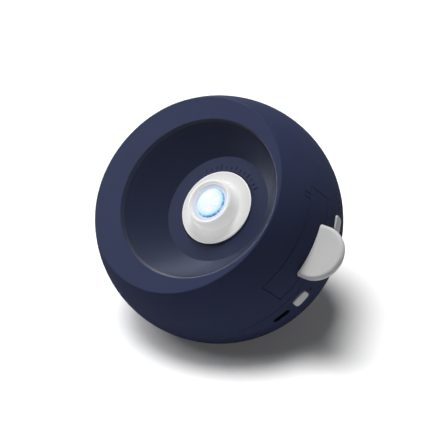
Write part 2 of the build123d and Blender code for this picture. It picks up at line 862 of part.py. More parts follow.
def led_emitter():
    low = housing_bottom + led_board_thickness
    half = led_size / 2
    chip = block((axis_x - half, axis_x + half), (-half, half), (low, low + led_base))
    dome = Pos(axis_x, 0, low + led_base) * Sphere(led_dome) & slab(low + led_base / 2, far)
    return chip + dome


def heat_sink():
    """Turned disc with straight fins cut into its back."""
    base_low = housing_bottom - sink_base
    body = disc(sink_base_radius, base_low, housing_bottom, (axis_x, 0))
    for place in lamp_ear_places():
        body += disc(lamp_ear_radius, base_low, housing_bottom, place)
    pitch = (2 * sink_radius - sink_fin) / (sink_fins - 1)
    fins = disc(sink_radius, sink_bottom, base_low, (axis_x, 0))
    for slot in range(sink_fins - 1):
        low_x = axis_x - sink_radius + sink_fin + slot * pitch
        fins -= block((low_x, low_x + pitch - sink_fin), (-far, far), (sink_bottom, base_low))
    body += fins
    for place in lamp_ear_places():
        body -= disc(small_screw["radius"] + slip, base_low, housing_bottom, place)
    return body


def drive_motor():
    place = pinion_place()
    can = disc(motor_radius, motor_z[0], motor_z[1], place)
    can += disc(motor_radius / 3, motor_z[0] - motor_cap, motor_z[0], place)
    return can & block((-far, far), (-motor_flat, motor_flat), (-far, far))


def drive_gearbox():
    x, y = pinion_place()
    low, high = motor_z[1], bay_floor_z[0]
    half_x, half_y = gearbox_half
    body = block((x - half_x, x + half_x), (y - half_y, y + half_y), (low, high))
    ear_low = high - motor_ear_thickness
    for place in motor_ear_places():
        body += disc(motor_ear_radius, ear_low, high, place)
        reach = sorted((place[1], place[1] / 2))
        body += block((x - motor_ear_radius, x + motor_ear_radius), reach, (ear_low, high))
    for place in motor_ear_places():
        body -= disc(small_screw["radius"] + slip, ear_low, high, place)
    return body - disc(shaft_radius + slip, low, high, (x, y))


def drive_screws():
    seat = bay_floor_z[0] - motor_ear_thickness
    tip = bay_floor_z[1] - bay_screw_end
    return group([screw(place, seat, tip, **small_screw) for place in motor_ear_places()])


def lamp_screws():
    seat = housing_bottom - sink_base
    tip = bay_floor_z[1] - bay_screw_end
    return group([screw(place, seat, tip, **small_screw) for place in lamp_ear_places()])


def bay_screws():
    seat, top = bay_ear_z
    return group([screw(place, seat, top + bay_screw_grip, **small_screw) for place in bay_ear_places()])


def dish_screws():
    seat = rim_height - rim_thickness - dish_flange_thickness
    tip = rim_height - rim_thickness / 2
    wide = dict(small_screw, head=dish_screw_head)
    return group([screw(place, seat, tip, **wide) for place in dish_screw_places()])


def floor_screws():
    seat = floor_height - floor_thickness - shelf_thickness
    tip = floor_height - floor_thickness + plate_screw_grip
    places = plate_screw_places() + guide_screw_places()
    return group([screw(place, seat, tip, **small_screw) for place in places])


# ================================================================ rear of the ball
def rear_shell():
    """Rear half: bosses for the shell screws and the board, the vents, and the flat for the foot."""
    body = (Sphere(ball_radius) - Sphere(inner_radius)) & slab(-far, 0)
    body += ring(inner_radius + post_root, lip_inner, -lip_root, -seam_groove)
    body += ring(lip_outer, lip_inner, -lip_root, lip_rise)
    well_outer = shell_well_radius + shell_well_wall
    for place in shell_screw_places():
        body += disc(well_outer, -far, 0, place) & Sphere(ball_radius - post_root)
    for place in board_posts:
        body += disc(board_post_radius, -far, board_z[0], place) & Sphere(ball_radius - post_root)
    for place in shell_screw_places():
        body -= disc(shell_well_radius, -far, shell_well_floor, place)
        body -= disc(shell_screw["radius"] + slip, shell_well_floor, 0, place)
    for place in board_posts:
        body -= disc(small_screw["radius"], board_z[0] - board_thread, board_z[0], place)
    body -= seam_cut()
    for reach, count in vent_rings:
        for index in range(count):
            body -= disc(vent_radius, -far, vent_top, polar(360 * index / count, reach))
    for angle in (lower_key_angle, upper_key_angle):
        body -= Rot(0, 0, angle) * button_prism(inner_radius - button_clearance, far, gap)
    body -= port_prism(inner_radius - port_clearance, far, port_hole)
    for angle, level in window_places:
        body -= outward(angle, window_hole_reach, far, window_radius + slip, level)
    return foot_flat(stance * body)


def foot_flat(body):
    """Cut the ball's underside flat and thicken it inside, in the table's frame."""
    low_cap = Pos(0, 0, centre_height) * Sphere(ball_radius - low_shell_thickness) & slab(-far, inner_floor)
    body += low_cap
    body -= slab(-far, flat_level)
    body -= disc(foot_radius + slip * 2, -far, foot_thickness)
    for place in cradle_screw_places():
        body -= disc(foot_well_radius, 0, foot_well_floor, place)
        body -= disc(small_screw["radius"] + slip, 0, inner_floor, place)
    return body


def cradle_screw_places():
    return [(0, -cradle_screw_offset), (0, cradle_screw_offset)]


def button_prism(near, away, margin):
    """A rounded bar along X with the outline of a button, made larger by a margin."""
    width, height = button_size
    outline = RectangleRounded(height + 2 * margin, width + 2 * margin, button_corner + margin)
    return Pos(near, 0, button_middle) * Rot(0, 90, 0) * extrude(outline, away - near)


def button(angle):
    """Moulded cap, domed like the ball, with a lip that keeps it in."""
    cap = button_prism(button_lip_reach[0], far, 0) & Sphere(ball_radius + button_proud)
    cap = fillet(cap.faces().sort_by(Axis.X)[-1].edges(), button_round)
    lip = button_prism(button_lip_reach[0], button_lip_reach[1], button_lip)
    return Rot(0, 0, angle) * (cap + lip)


def side_switch(angle):
    low = board_z[1]
    half = switch_size[0] / 2
    body = block(switch_reach, (-half, half), (low, low + switch_size[1]))
    middle = low + switch_size[1] / 2
    body -= outward(0, plunger_hole_end, far, plunger_radius + 2 * slip, middle)
    return Rot(0, 0, angle) * body


def side_plunger(angle):
    level = board_z[1] + switch_size[1] / 2
    return outward(angle, plunger_reach[0], plunger_reach[1], plunger_radius, level)


def port_prism(near, away, size):
    """A round-ended bar at the port's angle."""
    middle = board_z[1] + port_size[1] / 2
    bar = extrude(Rot(0, 0, 90) * SlotOverall(size[0], size[1]), away - near)
    return Rot(0, 0, port_angle) * Pos(near, 0, middle) * Rot(0, 90, 0) * bar


def usb_socket():
    near, away = port_reach
    inner = (port_size[0] - 2 * port_skin, port_size[1] - 2 * port_skin)
    return port_prism(near, away, port_size) - port_prism(near + port_back, away, inner)


def usb_tongue():
    near, away = port_reach
    middle = board_z[1] + port_size[1] / 2
    half_width, half_height = tongue_size[0] / 2, tongue_size[1] / 2
    x = (near + port_back, away - port_back)
    z = (middle - half_height, middle + half_height)
    return Rot(0, 0, port_angle) * block(x, (-half_width, half_width), z)


def main_board():
    """Crescent-shaped board along the side of the ball, behind the buttons and the port."""
    body = disc(board_radius, board_z[0], board_z[1])
    body &= block((board_edge_x, far), (-board_half_width, board_half_width), board_z)
    body -= disc(board_notch, board_z[0], board_z[1], (axis_x, 0))
    for place in board_posts:
        body -= disc(small_screw["radius"] + slip, board_z[0], board_z[1], place)
    return body


def board_chips():
    """The controller, the charger, a coil and a few small parts on top of the board."""
    low = board_z[1]
    chips = []
    for (x, y), (length, width, height) in chip_places:
        x_span = (x - length / 2, x + length / 2)
        y_span = (y - width / 2, y + width / 2)
        chips.append(block(x_span, y_span, (low, low + height)))
    return group(chips)


def indicator_windows():
    """Short clear rods that end a little below the ball's surface."""
    rods = []
    for angle, level in window_places:
        reach = sqrt(ball_radius**2 - level**2) - window_recess
        rods.append(outward(angle, window_inner_reach, reach, window_radius, level))
    return group(rods)


def indicator_leds():
    low = board_z[1]
    half = light_size[0] / 2
    lights = []
    for angle, level in window_places:
        chip = block(light_reach, (-half, half), (low, low + light_size[1]))
        lights.append(Rot(0, 0, angle) * chip)
    return group(lights)


def board_screws():
    tip = board_z[0] - board_screw_grip
    return group([screw(place, board_z[1], tip, **small_screw) for place in board_posts])


def shell_screws():
    seat = shell_well_floor
    return group([screw(place, seat, -seat, **shell_screw) for place in shell_screw_places()])


# ================================================================ underside, in the table's frame
def foot_pad():
    pad = disc(foot_radius, 0, foot_thickness)
    pad = fillet(level_edges(pad, 0), foot_round)
    inner, outer, depth = foot_groove
    return pad - ring(outer, inner, 0, depth)


def ballast_plate():
    plate = disc(ballast_radius, inner_floor, ballast_top)
    for place in cradle_screw_places():
        plate -= disc(small_screw["radius"] + gap, inner_floor, ballast_top, place)
    return plate


def cell_bar(radius):
    half = cell_length / 2
    return along_x(radius, -half, half, 0, cell_level)


def battery_cell():
    radius, height = cell_button
    half = cell_length / 2
    return cell_bar(cell_radius) + along_x(radius, half, half + height, 0, cell_level)


def battery_cradle():
    half = cradle_length / 2
    body = block((-half, half), (-cradle_half_width, cradle_half_width), (ballast_top, cradle_top))
    body -= cell_bar(cell_radius + slip)
    for place in cradle_screw_places():
        body -= disc(small_screw["radius"], ballast_top, ballast_top + cradle_thread, place)
    for place in strap_screw_places():
        body -= disc(small_screw["radius"], cradle_top - strap_thread, cradle_top, place)
    return body


def strap_screw_places():
    return [(strap_place, -strap_screw_offset), (strap_place, strap_screw_offset)]


def battery_strap():
    x = (strap_place - strap_width / 2, strap_place + strap_width / 2)
    inner = cell_radius + slip
    band = along_x(inner + strap_thickness, *x, 0, cell_level)
    ear_z = (cradle_top, cradle_top + strap_thickness)
    band += block(x, (-cradle_half_width, cradle_half_width), ear_z)
    band &= slab(cradle_top, far)
    band -= cell_bar(inner)
    for place in strap_screw_places():
        band -= disc(small_screw["radius"] + slip, ear_z[0], ear_z[1], place)
    return band


def strap_screws():
    seat = cradle_top + strap_thickness
    tip = cradle_top - strap_screw_grip
    narrow = dict(small_screw, head=strap_screw_head)
    return group([screw(place, seat, tip, **narrow) for place in strap_screw_places()])


def cradle_screws():
    tip = ballast_top + cradle_screw_grip
    return group([screw(place, foot_well_floor, tip, **small_screw) for place in cradle_screw_places()])


# ================================================================ the set of pieces
tilted_pieces = {
    "front_shell": front_shell(),
    "dish": dish(),
    "floor_plate": floor_plate(),
    "focus_ring": focus_ring(),
    "focus_clip": focus_clip(),
    "focus_guide": focus_guide(),
    "lens_barrel": lens_barrel(),
    "barrel_pins": barrel_pins(),
    "front_lens": front_lens(),
    "rear_lens": rear_lens(),
    "lens_spacer": lens_spacer(),
    "lens_retainer": lens_retainer(),
    "drawer_panel": drawer_panel(),
    "drawer_tab": drawer_tab(),
    "tab_screws": tab_screws(),
    "disc_tray": disc_tray(),
    "tray_screws": tray_screws(),
    "disc_gear": disc_gear(),
    "star_film": star_film(),
    "film_clamp": film_clamp(),
    "drive_pinion": drive_pinion(),
    "drive_shaft": drive_shaft(),
    "drawer_bay": drawer_bay(),
    "lamp_housing": lamp_housing(),
    "condenser_lens": condenser_lens(),
    "condenser_ring": condenser_ring(),
    "led_board": led_board(),
    "led_emitter": led_emitter(),
    "heat_sink": heat_sink(),
    "drive_motor": drive_motor(),
    "drive_gearbox": drive_gearbox(),
    "drive_screws": drive_screws(),
    "lamp_screws": lamp_screws(),
    "bay_screws": bay_screws(),
    "dish_screws": dish_screws(),
    "floor_screws": floor_screws(),
    "upper_button": button(upper_key_angle),
    "lower_button": button(lower_key_angle),
    "upper_switch": side_switch(upper_key_angle),
    "lower_switch": side_switch(lower_key_angle),
    "upper_plunger": side_plunger(upper_key_angle),
    "lower_plunger": side_plunger(lower_key_angle),
    "usb_socket": usb_socket(),
    "usb_tongue": usb_tongue(),
    "main_board": main_board(),
    "board_chips": board_chips(),
    "indicator_windows": indicator_windows(),
    "indicator_leds": indicator_leds(),
    "board_screws": board_screws(),
    "shell_screws": shell_screws(),
}
level_pieces = {
    "rear_shell": rear_shell(),
    "foot_pad": foot_pad(),
    "ballast_plate": ballast_plate(),
    "battery_cell": battery_cell(),
    "battery_cradle": battery_cradle(),
    "battery_strap": battery_strap(),
    "strap_screws": strap_screws(),
    "cradle_screws": cradle_screws(),
}

os.makedirs("parts", exist_ok=True)
for name, piece in tilted_pieces.items():
    export_step(stance * piece, f"parts/{name}.step")
for name, piece in level_pieces.items():
    export_step(piece, f"parts/{name}.step")
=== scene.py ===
from math import cos, radians, sin

import bpy
from mathutils import Matrix, Vector

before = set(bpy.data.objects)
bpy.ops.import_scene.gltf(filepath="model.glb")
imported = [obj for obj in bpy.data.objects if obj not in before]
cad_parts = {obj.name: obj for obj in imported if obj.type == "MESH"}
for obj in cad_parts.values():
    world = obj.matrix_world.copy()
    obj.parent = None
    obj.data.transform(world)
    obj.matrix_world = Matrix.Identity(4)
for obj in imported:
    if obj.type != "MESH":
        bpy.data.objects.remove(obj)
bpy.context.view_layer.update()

scene = bpy.context.scene
scene.view_settings.view_transform = "Standard"

# ---------------------------------------------------------------- camera
# A long lens looks down on the ball from its front right, so that dish, drawer and port all show.
# It stands 600 mm from the ball's centre and aims at it, with a hair of shift for the framing.
ball_centre = Vector((0, 0, 0.0588))
camera_distance = 0.6
camera_azimuth = 39.69
camera_elevation = 26.75


def way_out(azimuth, elevation):
    """The direction from the ball at these degrees: 0 is straight in front, 90 the drawer's side."""
    around, up = radians(azimuth), radians(elevation)
    return Vector((sin(around) * cos(up), -cos(around) * cos(up), sin(up)))


def aim_inward(thing, direction):
    """Turn a camera or a lamp so that it looks back along a direction."""
    thing.rotation_mode = "QUATERNION"
    thing.rotation_quaternion = direction.to_track_quat("Z", "Y")


towards_camera = way_out(camera_azimuth, camera_elevation)
camera = bpy.data.objects.new("camera", bpy.data.cameras.new("camera"))
camera.data.lens = 101.2
camera.data.sensor_width = 36
camera.data.shift_x = 0.0019
camera.data.shift_y = -0.0012
camera.data.clip_start = 0.01
camera.location = ball_centre + towards_camera * camera_distance
aim_inward(camera, towards_camera)
scene.collection.objects.link(camera)
scene.camera = camera


# ---------------------------------------------------------------- table
# A plain sheet of pale card on a table, on which the projector stands and throws its shadow. The
# card is bright where it is seen, a mid grey for the light that it returns, and dark in reflections.
def new_material(name):
    """An empty node material: the material, its tree, and the socket that takes the finish."""
    material = bpy.data.materials.new(name)
    material.use_nodes = True
    tree = material.node_tree
    tree.nodes.clear()
    output = tree.nodes.new("ShaderNodeOutputMaterial")
    return material, tree, output.inputs["Surface"]


def put(tree, value, socket):
    """Give a socket a plain value, or link another socket to it."""
    if isinstance(value, bpy.types.NodeSocket):
        tree.links.new(value, socket)
    else:
        socket.default_value = value


def maths(tree, operation, *values):
    node = tree.nodes.new("ShaderNodeMath")
    node.operation = operation
    for value, socket in zip(values, node.inputs):
        put(tree, value, socket)
    return node.outputs[0]


def rays(tree, *kinds):
    """One for rays of these kinds and nought for all others."""
    path = tree.nodes.new("ShaderNodeLightPath")
    total = path.outputs[kinds[0]]
    for kind in kinds[1:]:
        total = maths(tree, "MAXIMUM", total, path.outputs[kind])
    return total


# The kind of a Mix node, with the places of its two inputs and of its result.
of_colours = ("RGBA", 6, 7, 2)
of_numbers = ("FLOAT", 2, 3, 0)


def blend(tree, kind, amount, first, second):
    """The first value where the amount is nought, and the second where it is one."""
    data_type, first_place, second_place, result_place = kind
    node = tree.nodes.new("ShaderNodeMix")
    node.data_type = data_type
    put(tree, amount, node.inputs["Factor"])
    put(tree, first, node.inputs[first_place])
    put(tree, second, node.inputs[second_place])
    return node.outputs[result_place]


half_table = 3.0
card_seen = (0.93, 0.93, 0.93, 1)
card_returned = (0.52, 0.52, 0.53, 1)
card_reflected = (0.12, 0.12, 0.12, 1)
card_haze = 0.06
corners = [(-half_table, -half_table, 0), (half_table, -half_table, 0),
           (half_table, half_table, 0), (-half_table, half_table, 0)]
table_sheet = bpy.data.meshes.new("table")
table_sheet.from_pydata(corners, [], [(0, 1, 2, 3)])
table = bpy.data.objects.new("table", table_sheet)
scene.collection.objects.link(table)

table_paper, tree, surface = new_material("table_paper")
card = tree.nodes.new("ShaderNodeBsdfDiffuse")
haze = tree.nodes.new("ShaderNodeEmission")
card_and_haze = tree.nodes.new("ShaderNodeAddShader")
in_view = rays(tree, "Is Camera Ray", "Is Transmission Ray")
unseen = blend(tree, of_colours, rays(tree, "Is Glossy Ray"), card_returned, card_reflected)
put(tree, blend(tree, of_colours, in_view, unseen, card_seen), card.inputs["Color"])
put(tree, maths(tree, "MULTIPLY", in_view, card_haze), haze.inputs["Strength"])
tree.links.new(card.outputs[0], card_and_haze.inputs[0])
tree.links.new(haze.outputs[0], card_and_haze.inputs[1])
tree.links.new(card_and_haze.outputs[0], surface)
table.data.materials.append(table_paper)

# ---------------------------------------------------------------- room
# A bare room with white walls behind the table. They are white where they are seen, dim in
# reflections, and add hardly any light, so that the lamps alone shape the ball.
wall_light = 0.04
wall_reflected = 0.15
room = bpy.data.worlds.new("room")
scene.world = room
room.use_nodes = True
tree = room.node_tree
walls = tree.nodes["Background"]
walls.inputs["Color"].default_value = (1, 1, 1, 1)
in_view = rays(tree, "Is Camera Ray", "Is Transmission Ray")
in_gloss = maths(tree, "MULTIPLY", rays(tree, "Is Glossy Ray"), wall_reflected)
brighter = maths(tree, "MAXIMUM", in_view, in_gloss)
put(tree, maths(tree, "MAXIMUM", brighter, wall_light), walls.inputs["Strength"])


# ---------------------------------------------------------------- lamps
# Five large soft lamps, far off. Two light only the table and give it its shadow. Three light only
# the projector: one above that shows in no gloss, one at the left, and one that shows in gloss only.
def lamp_reach(name, link_state):
    """What a lamp lights: the table alone when it is INCLUDE, all but the table when EXCLUDE."""
    reach = bpy.data.collections.new(name)
    reach.objects.link(table)
    reach.collection_objects[0].light_linking.link_state = link_state
    return reach


def soft_lamp(name, reach, azimuth, elevation, energy, spread):
    """A far lamp that stands at these degrees and looks as wide as its spread, in degrees."""
    lamp = bpy.data.objects.new(name, bpy.data.lights.new(name, "SUN"))
    lamp.data.energy = energy
    lamp.data.angle = radians(spread)
    aim_inward(lamp, way_out(azimuth, elevation))
    lamp.light_linking.receiver_collection = reach
    scene.collection.objects.link(lamp)
    return lamp


on_table = lamp_reach("on_table", "INCLUDE")
on_object = lamp_reach("on_object", "EXCLUDE")
soft_lamp("high_table_lamp", on_table, azimuth=3, elevation=73, energy=2.4, spread=26)
soft_lamp("wide_table_lamp", on_table, azimuth=338, elevation=63, energy=2.0, spread=50)
overhead_lamp = soft_lamp("overhead_lamp", on_object, azimuth=244, elevation=77, energy=3.5, spread=22)
overhead_lamp.visible_glossy = False
soft_lamp("left_lamp", on_object, azimuth=281, elevation=10, energy=1.65, spread=37)
gloss_lamp = soft_lamp("gloss_lamp", on_object, azimuth=260, elevation=31, energy=2.7, spread=58)
gloss_lamp.visible_diffuse = False


# ---------------------------------------------------------------- rear shell and drawer cover
# The rear half of the ball and the curved cover of the drawer, injection-moulded in navy plastic
# in one colour. The mould is etched with a fine matt grain, and the cover lies flush in the side.
def coordinates(tree):
    return tree.nodes.new("ShaderNodeTexCoord").outputs["Object"]


def noise(tree, size, detail, vector=None):
    """Noise whose features are about this large: in metres, or in the units of its own vector."""
    node = tree.nodes.new("ShaderNodeTexNoise")
    node.inputs["Scale"].default_value = 1 / size
    node.inputs["Detail"].default_value = detail
    tree.links.new(vector or coordinates(tree), node.inputs["Vector"])
    return node.outputs["Fac"]


def between(tree, value, low, high, new_low, new_high):
    """A value's range turned into another range, and held within it."""
    node = tree.nodes.new("ShaderNodeMapRange")
    for socket, number in zip(node.inputs, (value, low, high, new_low, new_high)):
        put(tree, number, socket)
    return node.outputs[0]


def shade(colour, factor):
    """A colour made darker or lighter."""
    return (*(min(1.0, channel * factor) for channel in colour[:3]), 1)


def bump(tree, height, depth):
    node = tree.nodes.new("ShaderNodeBump")
    node.inputs["Distance"].default_value = depth
    node.inputs["Strength"].default_value = 1
    tree.links.new(height, node.inputs["Height"])
    return node.outputs["Normal"]


noise_middle = (0.3, 0.7)
flow_size = 0.018
handling_size = 0.007
handling_change = 0.05
lacquer_roughness = 0.12


def moulded(name, colour, roughness, grain, depth, specular=0.5, coat=0.0, mottling=0.06):
    """Injection-moulded plastic: etched grain, faint flow mottling and a gloss uneven from handling."""
    material, tree, surface = new_material(name)
    body = tree.nodes.new("ShaderNodeBsdfPrincipled")
    flow = noise(tree, flow_size, detail=3)
    handling = noise(tree, handling_size, detail=4)
    colours = blend(tree, of_colours, flow, shade(colour, 1 - mottling), shade(colour, 1 + mottling))
    gloss = between(tree, handling, *noise_middle, roughness - handling_change, roughness + handling_change)
    put(tree, colours, body.inputs["Base Color"])
    put(tree, gloss, body.inputs["Roughness"])
    put(tree, bump(tree, noise(tree, grain, detail=3), depth), body.inputs["Normal"])
    body.inputs["Specular IOR Level"].default_value = specular
    body.inputs["Coat Weight"].default_value = coat
    body.inputs["Coat Roughness"].default_value = lacquer_roughness
    tree.links.new(body.outputs[0], surface)
    return material


def paint(material, *nodes):
    """Put a material on CAD nodes that stay as they are."""
    for node in nodes:
        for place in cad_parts[node].material_slots:
            place.material = material


def finish_of(material):
    """The shader that holds a material's colour, gloss and glow."""
    return material.node_tree.nodes["Principled BSDF"]


navy = (0.0345, 0.0423, 0.0920, 1)
navy_sheen = (0.62, 0.72, 1.0, 1)
shell_finish = {"roughness": 0.55, "grain": 0.00035, "depth": 0.00002, "specular": 0.06}
shell_navy = moulded("shell_navy_grain", navy, **shell_finish)
finish_of(shell_navy).inputs["Specular Tint"].default_value = navy_sheen
paint(shell_navy, "rear_shell", "drawer_panel")

# ---------------------------------------------------------------- front shell
# The front half of the ball with the flat ring round the dish, moulded in the same grained navy.
# Inside the mouth its lip is smooth, dark and glossy, because there it runs on into the dish.
lens_axis_tilt = 46.4
stance = Matrix.Translation(ball_centre) @ Matrix.Rotation(radians(lens_axis_tilt), 4, "X")


def ball_frame(tree, offset=(0, 0, 0)):
    """Object coordinates turned so that Z is the lens axis, measured from the ball's centre."""
    inverse = stance.inverted()
    node = tree.nodes.new("ShaderNodeMapping")
    node.inputs["Rotation"].default_value = inverse.to_euler()
    node.inputs["Location"].default_value = inverse.to_translation() - Vector(offset)
    tree.links.new(coordinates(tree), node.inputs["Vector"])
    return node.outputs[0]


def ball_places(tree, offset=(0, 0, 0)):
    """The three ball coordinates as single numbers. The last is the height along the lens axis."""
    parts = tree.nodes.new("ShaderNodeSeparateXYZ")
    tree.links.new(ball_frame(tree, offset), parts.inputs[0])
    return parts.outputs


def squared(tree, value):
    return maths(tree, "POWER", value, 2)


mouth_x = 0.0067
mouth_half_width = 0.0423
mouth_half_height = 0.0403
mouth_edge = 0.0340


def mouth_lip(tree, above):
    """One on the front shell's inner lip, from this height up to the mouth's edge, else nought."""
    width, height, along_axis = ball_places(tree, (mouth_x, 0, 0))
    across = squared(tree, maths(tree, "DIVIDE", width, mouth_half_width))
    down = squared(tree, maths(tree, "DIVIDE", height, mouth_half_height))
    inside = maths(tree, "LESS_THAN", maths(tree, "ADD", across, down), 1)
    middle, reach = (mouth_edge + above) / 2, (mouth_edge - above) / 2
    band = maths(tree, "COMPARE", along_axis, middle, reach)
    return maths(tree, "MULTIPLY", inside, band)


def blend_into(tree, kind, target, amount, value):
    """Change what one of the plastic's sockets takes towards another value where amount is one."""
    now = target.links[0].from_socket if target.links else target.default_value
    put(tree, blend(tree, kind, amount, now, value), target)


dish_colour = shade(navy, 0.48)
dish_roughness = 0.42
lip_bottom = 0.0300
lip_coat = 0.2
lip_edge_bottom = 0.0333
lip_edge_coat = 0.5
lip_coat_roughness = 0.36
lip_coat_index = 2.0
front_navy = moulded("front_shell_navy", navy, **shell_finish)
tree = front_navy.node_tree
body = finish_of(front_navy)
lip = mouth_lip(tree, lip_bottom)
lip_edge = mouth_lip(tree, lip_edge_bottom)
blend_into(tree, of_colours, body.inputs["Base Color"], lip, dish_colour)
blend_into(tree, of_numbers, body.inputs["Roughness"], lip, dish_roughness)
blend_into(tree, of_numbers, body.inputs["Coat Weight"], lip, lip_coat)
blend_into(tree, of_numbers, body.inputs["Coat Weight"], lip_edge, lip_edge_coat)
body.inputs["Coat Roughness"].default_value = lip_coat_roughness
body.inputs["Coat IOR"].default_value = lip_coat_index
body.inputs["Specular Tint"].default_value = navy_sheen
paint(front_navy, "front_shell")

# ---------------------------------------------------------------- dish
# A slanted bowl, moulded on its own in darker navy plastic and screwed behind the front ring from
# inside. Its mould is polished, so that the wall takes a soft reflection at the bottom.
dish_navy = moulded(
    "dish_navy_polished", dish_colour, roughness=dish_roughness, grain=0.0004, depth=0.000004, specular=0.36
)
finish_of(dish_navy).inputs["Specular Tint"].default_value = navy_sheen
paint(dish_navy, "dish")

# ---------------------------------------------------------------- floor plate
# A flat moulded disc in satin navy at the bottom of the dish, round the focus ring. It is screwed on
# from behind, and the tick scale for the focus is engraved in it.
floor_navy = moulded(
    "floor_navy_satin", shade(navy, 0.82), roughness=0.45, grain=0.0003, depth=0.00001, specular=0.12
)
paint(floor_navy, "floor_plate")

# ---------------------------------------------------------------- focus ring
# A white ABS moulding: skirt, flange, sloping neck and rounded rim in one. It turns in a bearing.
# A painted glow lifts its shaded neck and, less, its flange, and a painted highlight lightens the flange's
# edge.
lens_axis_x = 0.0142
ring_grey = (0.38, 0.38, 0.38, 1)
# The edge colour is a painted highlight, and the neck and flange glow numbers are a painted glow.
ring_edge_highlight_white = (0.75, 0.75, 0.75, 1)
ring_edge_highlight_reach = (0.0174, 0.0178)
ring_neck_reach = 0.0125
ring_flange_reach = 0.0165
ring_neck_painted_glow = 0.45
ring_flange_painted_glow = 0.36
ring_hidden_below = 0.0257


def reach_from_axis(tree, offset=(0, 0)):
    """Distance in metres from the lens axis, or from a line beside it."""
    width, height, _ = ball_places(tree, (lens_axis_x + offset[0], offset[1], 0))
    return maths(tree, "SQRT", maths(tree, "ADD", squared(tree, width), squared(tree, height)))


ring_white = moulded(
    "ring_white_painted_glow", ring_grey, roughness=0.3, grain=0.003, depth=0.000004,
    specular=0.25, coat=0.08, mottling=0.015,
)
tree = ring_white.node_tree
body = finish_of(ring_white)
ring_reach = reach_from_axis(tree)
# Painted highlight: the flange's outer edge is painted lighter, to stand for a bright line of light on it.
edge = between(tree, ring_reach, *ring_edge_highlight_reach, 0, 1)
blend_into(tree, of_colours, body.inputs["Base Color"], edge, ring_edge_highlight_white)
# Painted glow: emission that lifts the shaded neck and flange, cut off below the floor plate.
glow = between(tree, ring_reach, ring_neck_reach, ring_flange_reach, ring_neck_painted_glow, ring_flange_painted_glow)
in_the_dish = maths(tree, "GREATER_THAN", ball_places(tree)[2], ring_hidden_below)
body.inputs["Emission Color"].default_value = (1, 1, 0.99, 1)
put(tree, maths(tree, "MULTIPLY", in_the_dish, glow), body.inputs["Emission Strength"])
paint(ring_white, "focus_ring")

# ---------------------------------------------------------------- focus guide, clip and pins
# The ring's fixed bearing is a black moulded tube under the floor plate. A spring steel clip keeps
# the ring in it, and two ground steel pins carry the barrel in the ring's slanted slots.
matt_black = moulded(
    "matt_black", (0.012, 0.012, 0.014, 1), roughness=0.6, grain=0.0004, depth=0.00001, specular=0.2
)
paint(matt_black, "focus_guide")

stain_size = 0.004
stain_shades = (0.85, 1.05)
rub_size = 0.0012
rub_change = (-0.06, 0.08)


def metal(name, colour, roughness, line_size, line_depth):
    """Bare or plated metal with fine working lines, faint stains and rubbed places."""
    material, tree, surface = new_material(name)
    body = tree.nodes.new("ShaderNodeBsdfPrincipled")
    stain = noise(tree, stain_size, detail=3)
    rubbing = noise(tree, rub_size, detail=4)
    duller, brighter = (shade(colour, factor) for factor in stain_shades)
    smoothest, roughest = (roughness + change for change in rub_change)
    body.inputs["Metallic"].default_value = 1
    put(tree, blend(tree, of_colours, stain, duller, brighter), body.inputs["Base Color"])
    put(tree, between(tree, rubbing, *noise_middle, smoothest, roughest), body.inputs["Roughness"])
    put(tree, bump(tree, noise(tree, line_size, detail=2), line_depth), body.inputs["Normal"])
    tree.links.new(body.outputs[0], surface)
    return material


ground_steel = metal(
    "ground_steel", (0.62, 0.62, 0.63, 1), roughness=0.24, line_size=0.0002, line_depth=0.000004
)
paint(ground_steel, "focus_clip", "barrel_pins")

# ---------------------------------------------------------------- lens barrel, spacer and retainer
# The barrel is moulded in white plastic and slides in the ring on its pins. Its face carries a painted
# glow, as if lit by the lamp. A black spacer parts its two lenses, and a slotted black ring holds them in.
barrel_painted_glow = moulded(
    "barrel_painted_glow", (0.40, 0.42, 0.48, 1), roughness=0.3, grain=0.002, depth=0.000004, mottling=0.01
)
# Painted glow: the barrel's face gives out a faint lavender light of its own.
finish_of(barrel_painted_glow).inputs["Emission Color"].default_value = (0.74, 0.82, 1, 1)
finish_of(barrel_painted_glow).inputs["Emission Strength"].default_value = 0.42
paint(barrel_painted_glow, "lens_barrel")
paint(matt_black, "lens_spacer", "lens_retainer")

# ---------------------------------------------------------------- lenses
# Ground and polished glass. The lamp behind is on, so the front lens carries rays of cold white
# light that turn blue at its rim. The rear lens and the condenser are clear.
lens_reach = 0.0079
light_offset = (-0.0014, 0.0006)
light_stops = (
    (0.00, (1.00, 1.00, 1.00, 1)),
    (0.60, (0.93, 0.98, 1.00, 1)),
    (0.82, (0.62, 0.86, 1.00, 1)),
    (0.93, (0.10, 0.38, 0.72, 1)),
    (1.00, (0.02, 0.15, 0.40, 1)),
)
streak_offset = (-0.001, -0.001)
streak_size = 0.12
streak_middle = (0.46, 0.62)
streak_amount = 0.55
streak_blue = (0.60, 0.84, 1.0, 1)


def vector_maths(tree, operation, vector):
    node = tree.nodes.new("ShaderNodeVectorMath")
    node.operation = operation
    tree.links.new(vector, node.inputs[0])
    return node


def lamp_streaks(tree):
    """Pale blue rays that run outward over the lens, as an amount from nought."""
    beside_axis = ball_frame(tree, (lens_axis_x + streak_offset[0], streak_offset[1], 0))
    flat = vector_maths(tree, "MULTIPLY", beside_axis)
    flat.inputs[1].default_value = (1, 1, 0)
    outward = vector_maths(tree, "NORMALIZE", flat.outputs[0])
    streaks = noise(tree, streak_size, detail=2, vector=outward.outputs[0])
    return between(tree, streaks, *streak_middle, 0, streak_amount)


def lens_light(tree):
    """The lamp's colour in the front lens: white in the middle and blue at the rim, with streaks."""
    ramp = tree.nodes.new("ShaderNodeValToRGB")
    put(tree, between(tree, reach_from_axis(tree, light_offset), 0, lens_reach, 0, 1), ramp.inputs[0])
    stops = ramp.color_ramp.elements
    for place, _ in light_stops[1:-1]:
        stops.new(place)
    for stop, (_, colour) in zip(stops, light_stops):
        stop.color = colour
    return blend(tree, of_colours, lamp_streaks(tree), ramp.outputs[0], streak_blue)


glass_index = 1.52
dust_size = 0.002
glass_roughness = (0.02, 0.05)


